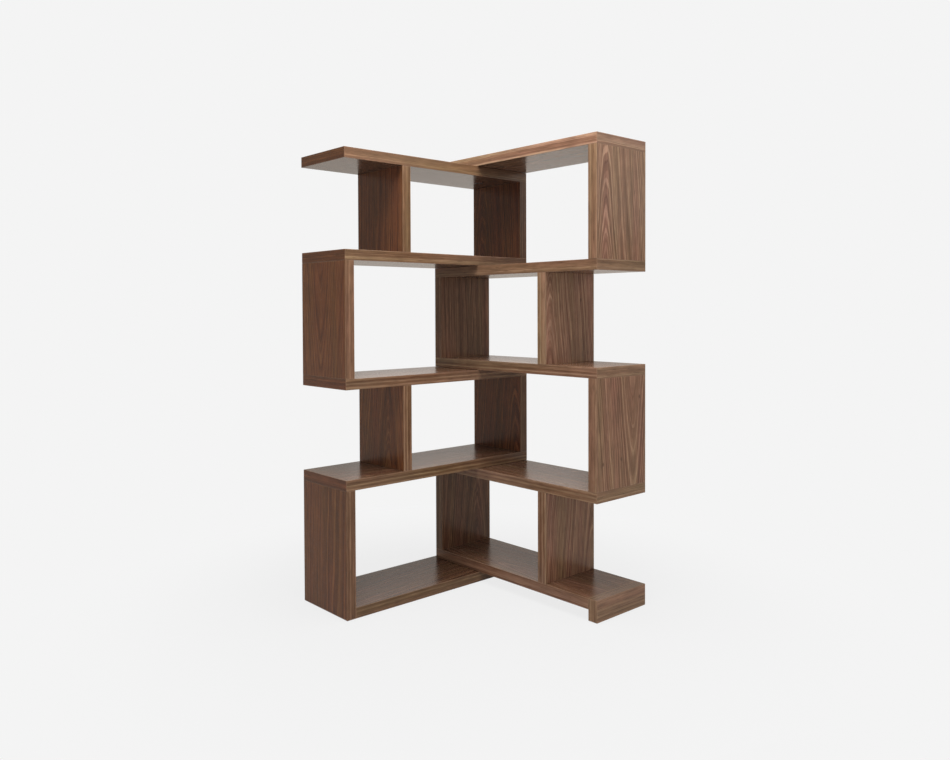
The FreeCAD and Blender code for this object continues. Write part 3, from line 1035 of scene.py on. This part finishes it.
def add_camera():
    """The camera where the photograph was taken from, as the edges of its boards tell."""
    forward = Vector((
        math.cos(CAMERA_PITCH) * math.cos(CAMERA_HEADING),
        math.cos(CAMERA_PITCH) * math.sin(CAMERA_HEADING),
        math.sin(CAMERA_PITCH),
    ))
    level = Vector((math.sin(CAMERA_HEADING), -math.cos(CAMERA_HEADING), 0))
    plumb = level.cross(forward)
    right = level * math.cos(CAMERA_ROLL) + plumb * math.sin(CAMERA_ROLL)
    up = plumb * math.cos(CAMERA_ROLL) - level * math.sin(CAMERA_ROLL)
    lens = bpy.data.cameras.new("camera")
    lens.sensor_width = SENSOR_WIDTH
    lens.lens = FOCAL_PIXELS / PHOTO_WIDTH * SENSOR_WIDTH
    lens.shift_x = (PHOTO_WIDTH / 2 - LENS_AXIS_PIXEL[0]) / PHOTO_WIDTH
    lens.shift_y = (LENS_AXIS_PIXEL[1] - PHOTO_HEIGHT / 2) / PHOTO_WIDTH
    camera = bpy.data.objects.new("camera", lens)
    aim = Matrix((right, up, -forward)).transposed().to_4x4()
    camera.matrix_world = Matrix.Translation(CAMERA_PLACE) @ aim
    bpy.context.scene.collection.objects.link(camera)
    bpy.context.scene.camera = camera


def add_softbox(name, place, power):
    """A large square soft light that faces the middle of the object."""
    lamp = bpy.data.lights.new(name, "AREA")
    lamp.size = SOFTBOX_SIZE
    lamp.energy = power
    light = bpy.data.objects.new(name, lamp)
    light.location = place
    light.rotation_euler = (LIGHT_TARGET - Vector(place)).to_track_quat("-Z", "Y").to_euler()
    bpy.context.scene.collection.objects.link(light)


def add_world():
    """An even pale studio: bright where it is seen, warm where it is mirrored, softer where it lights."""
    world = bpy.data.worlds.new("studio")
    world.use_nodes = True
    bpy.context.scene.world = world
    tree = Tree(world.node_tree)
    world.node_tree.nodes.clear()
    path = tree.add("ShaderNodeLightPath").outputs
    seen = tree.math("MAXIMUM", path["Is Camera Ray"], path["Is Glossy Ray"])
    seen = tree.math("MAXIMUM", seen, path["Is Transmission Ray"])
    fill = tree.add("ShaderNodeBackground", {"Color": BACKGROUND, "Strength": FILL_STRENGTH})
    backdrop = tree.blend(path["Is Glossy Ray"], BACKGROUND, MIRRORED)
    bright = tree.add("ShaderNodeBackground", {"Color": backdrop, "Strength": 1.0})
    mix = tree.add("ShaderNodeMixShader", {"Fac": seen})
    tree.feed(mix.inputs[1], fill.outputs[0])
    tree.feed(mix.inputs[2], bright.outputs[0])
    output = tree.add("ShaderNodeOutputWorld")
    tree.feed(output.inputs["Surface"], mix.outputs[0])


def add_floor():
    """A pale floor that runs out into the background and keeps the object's shadow."""
    mesh = bmesh.new()
    bmesh.ops.create_grid(mesh, x_segments=1, y_segments=1, size=FLOOR_REACH)
    floor = new_piece("floor", mesh, ())
    material = bpy.data.materials.new("pale_floor")
    material.use_nodes = True
    material.node_tree.nodes.clear()
    tree = Tree(material.node_tree)
    path = tree.add("ShaderNodeLightPath").outputs
    seen = tree.math("MAXIMUM", path["Is Camera Ray"], path["Is Glossy Ray"])
    away = tree.add("ShaderNodeVectorMath", operation="LENGTH")
    tree.feed(away.inputs[0], object_place(tree))
    fade = tree.span(away.outputs["Value"], SHADOW_START, SHADOW_REACH, 1 - SHADOW_STRENGTH, 1.0)
    backdrop = tree.blend(path["Is Glossy Ray"], BACKGROUND, MIRRORED_FLOOR)
    plain = tree.add("ShaderNodeEmission", {"Color": backdrop, "Strength": 1.0})
    paint = tree.add("ShaderNodeBsdfDiffuse", {"Color": FLOOR_PAINT})
    mix = tree.add("ShaderNodeMixShader", {"Fac": tree.math("MULTIPLY", fade, seen)})
    tree.feed(mix.inputs[1], paint.outputs[0])
    tree.feed(mix.inputs[2], plain.outputs[0])
    output = tree.add("ShaderNodeOutputMaterial")
    tree.feed(output.inputs["Surface"], mix.outputs[0])
    floor.data.materials.append(material)


add_camera()
add_world()
add_floor()
for name, (place, power) in SOFTBOXES.items():
    add_softbox(name, place, power)
bpy.context.scene.view_settings.view_transform = "Standard"
